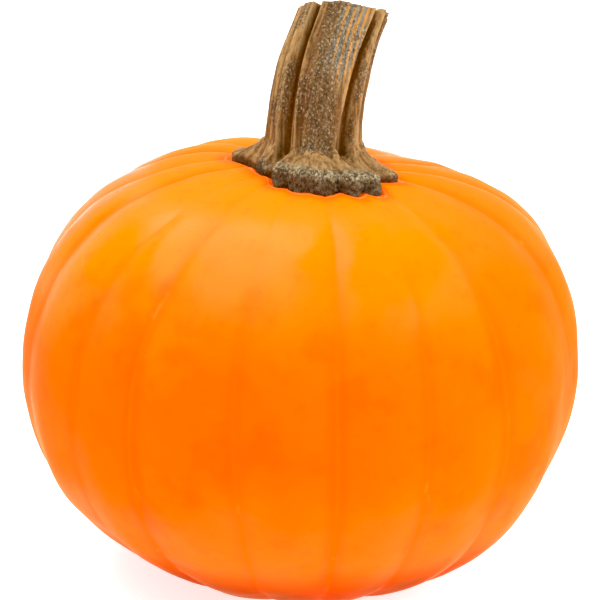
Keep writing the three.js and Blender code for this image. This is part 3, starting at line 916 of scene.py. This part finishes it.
def stalk_material():
    stalk = Surface("pumpkin_stalk")
    streaks = stalk.noise(stalk.place((1, 1, 0.08)), STREAKS, 3)
    specks = stalk.noise(stalk.place((1, 1, 0.7)), SPECKS, 3, 0.65)
    stains = stalk.noise(stalk.place((1, 1, 0.4)), STAINS, 3)
    flecks = stalk.noise(stalk.place(), FLECKS, 2, 0.6)
    fibre = stalk.field("fibre")
    wart = stalk.field("wart")
    cork = stalk.field("cork")
    foot_base_shade = stalk.field("foot_base_shade")
    toe_end = stalk.field("toe_end")

    # the fibres, then the cork, the stripes and the furrows over them
    stalk.colour = stalk.blend(stalk.ramp(fibre, 0.25, 0.75), BARK_BROWN, KHAKI)
    stalk.paint(stalk.ramp(streaks, 0.53, 0.68, 0, 0.4), ORANGE_TAN)
    stalk.paint(stalk.ramp(streaks, 0.47, 0.34, 0, 0.6), GRAIN_AND_SHADE_BROWN)
    stalk.paint(stalk.ramp(cork, 0.15, 0.8, 0, 0.8), CORK_BROWN)
    # painted shade: dark streaks down the shaft
    stalk.paint(stalk.ramp(stalk.field("shade_streak"), 0.1, 0.8, 0, 0.7), GRAIN_AND_SHADE_BROWN)
    stripe = stalk.blend(stalk.ramp(stalk.field("stripe"), 0.3, 0.8), BLUE_GREY, ORANGE_TAN)
    stalk.paint(stalk.ramp(stalk.field("striped"), 0.1, 0.7, 0, 0.7), stripe)
    # painted shade: the furrows are painted dark brown
    stalk.paint(stalk.ramp(stalk.field("furrow"), 0.25, 0.8, 0, 0.9), GRAIN_AND_SHADE_BROWN)
    stalk.paint(stalk.ramp(stalk.field("edge"), 0.3, 0.9, 0, 0.5), KHAKI)

    # the foot, paler on top, with painted shade darkening its base next to the fruit, and dark
    # and wrinkled at the toes' ends
    fan = stalk.blend(stalk.ramp(stalk.field("fan"), 0.25, 0.75), BARK_BROWN, KHAKI)
    stalk.paint(stalk.ramp(stalk.field("foot"), 0.1, 0.8, 0, 0.85), fan)
    stalk.paint(stalk.ramp(foot_base_shade, 0.2, 0.9, 0, 0.5), GRAIN_AND_SHADE_BROWN)
    toe_colour = stalk.blend(stalk.ramp(wart, 0.3, 0.75), DARK_CORK, TOE_BROWN)
    stalk.paint(stalk.ramp(toe_end, 0.05, 0.9, 0, 0.75), toe_colour)
    stalk.paint(stalk.ramp(stains, 0.54, 0.7, 0, 0.4), DARK_CORK)

    # the cork's grains, pale and dark, with pale flecks above the painted shade at the foot's
    # base
    grainy = stalk.ramp(stalk.math("MAXIMUM", cork, toe_end), 0.05, 0.6, 0.2, 1)
    stalk.paint(stalk.times(stalk.ramp(specks, 0.53, 0.68, 0, 0.6), grainy), GREY_CORK)
    stalk.paint(stalk.times(stalk.ramp(specks, 0.47, 0.36, 0, 0.85), grainy), DARK_CORK)
    flecked = stalk.times(stalk.ramp(foot_base_shade, 0.3, 1, 1, 0.2), toe_end)
    stalk.paint(stalk.times(stalk.ramp(flecks, 0.52, 0.64, 0, 0.7), flecked), GREY_CORK)
    # painted shade along the foot's base next to the fruit
    stalk.paint(stalk.ramp(foot_base_shade, 0.3, 1, 0, 0.5), DARK_CORK)

    pith = stalk.blend(stalk.ramp(wart, 0.1, 0.75), PITH_BROWN, CUT_STRAW)
    stalk.paint(stalk.ramp(stalk.field("cut"), 0.3, 0.9), pith)
    stalk.set(
        Base_Color=stalk.colour,
        Roughness=stalk.ramp(fibre, 0.2, 0.8, 0.92, 0.72),
        Normal=stalk.bump(specks, 0.6, 0.5 * MM, stalk.bump(streaks, 0.5, 0.6 * MM)),
        Specular_IOR_Level=0.12,
    )
    return stalk.material


WHITE = (1, 1, 1, 1)
FLOOR_GREYS = ((0.64, 0.64, 0.64, 1), (0.68, 0.68, 0.68, 1))
FLOOR_GLOW = 0.66


def floor_material():
    paper = Surface("pale_floor")
    paper.set(
        Base_Color=paper.blend(paper.noise(paper.place(), 6, 2), *FLOOR_GREYS),
        Roughness=0.7,
        Emission_Color=WHITE,
        Emission_Strength=FLOOR_GLOW,
    )
    return paper.material


# ---------------------------------------------------------------- floor, light and camera

CAMERA_ELEVATION = math.radians(20)
CAMERA_DISTANCE = 0.75
CAMERA_AIM = Vector((0, 0, EQUATOR_LEVEL + 17 * MM))
CAMERA_SENSOR = 36  # mm, across the photograph's 600 pixels
CAMERA_LENS = CAMERA_SENSOR * 2592 / 600  # its focal length is 2592 of those pixels
BLACK_POINT = 0.014
FLOOR_SIZE = 6
FLOOR_LEVEL = -0.05 * MM
WORLD_STRENGTH = 0.42
LIGHT_AIM = Vector((0, 0, 0.08))
SOFTBOXES = (  # name, place, width, height, power
    ("overhead_softbox", (-0.3, 0.04, 1.13), 1.52, 0.84, 19),
    ("side_softbox", (1.05, -0.2, 0.5), 0.7, 0.8, 12),
    ("front_fill", (-0.2, -2.2, 0.9), 2, 1.4, 16),
    ("backdrop", (-0.4, 2.4, 0.9), 3.6, 1.8, 10),
    ("left_rim_strip", (-1.1, 0.2, 0.15), 1, 0.24, 3),
    ("right_rim_strip", (1.1, 0.6, 0.28), 1, 0.5, 5),
)


def make_floor():
    bpy.ops.mesh.primitive_plane_add(size=FLOOR_SIZE, location=(0, 0, FLOOR_LEVEL))
    floor = bpy.context.object
    floor.name = "floor"
    floor.data.materials.append(floor_material())


def make_lights():
    for name, place, width, height, power in SOFTBOXES:
        data = bpy.data.lights.new(name, "AREA")
        data.shape = "RECTANGLE"
        data.size = width
        data.size_y = height
        data.energy = power
        light = bpy.data.objects.new(name, data)
        light.location = place
        light.rotation_euler = (LIGHT_AIM - Vector(place)).to_track_quat("-Z", "Y").to_euler()
        bpy.context.scene.collection.objects.link(light)
    world = bpy.data.worlds.new("studio")
    world.use_nodes = True
    background = world.node_tree.nodes["Background"]
    background.inputs["Color"].default_value = WHITE
    background.inputs["Strength"].default_value = WORLD_STRENGTH
    bpy.context.scene.world = world


def make_camera():
    data = bpy.data.cameras.new("camera")
    data.sensor_width = CAMERA_SENSOR
    data.lens = CAMERA_LENS
    camera = bpy.data.objects.new("camera", data)
    back = Vector((0, -math.cos(CAMERA_ELEVATION), math.sin(CAMERA_ELEVATION)))
    camera.location = CAMERA_AIM + CAMERA_DISTANCE * back
    camera.rotation_euler = (math.pi / 2 - CAMERA_ELEVATION, 0, 0)
    bpy.context.scene.collection.objects.link(camera)
    bpy.context.scene.camera = camera


def grade_view():
    """Plain colours with a slightly raised black point, as in a saturated studio print."""
    view = bpy.context.scene.view_settings
    view.view_transform = "Standard"
    view.use_curve_mapping = True
    view.curve_mapping.black_level = (BLACK_POINT, BLACK_POINT, BLACK_POINT)
    view.curve_mapping.update()


# ---------------------------------------------------------------- the part

fruit = make_fruit()
fruit.data.materials.append(rind_material())
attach(fruit, "root")
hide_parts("fruit")

stalk = make_stalk()
stalk.data.materials.append(stalk_material())
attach(stalk, "root")
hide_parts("stalk")

make_floor()
make_lights()
make_camera()
grade_view()
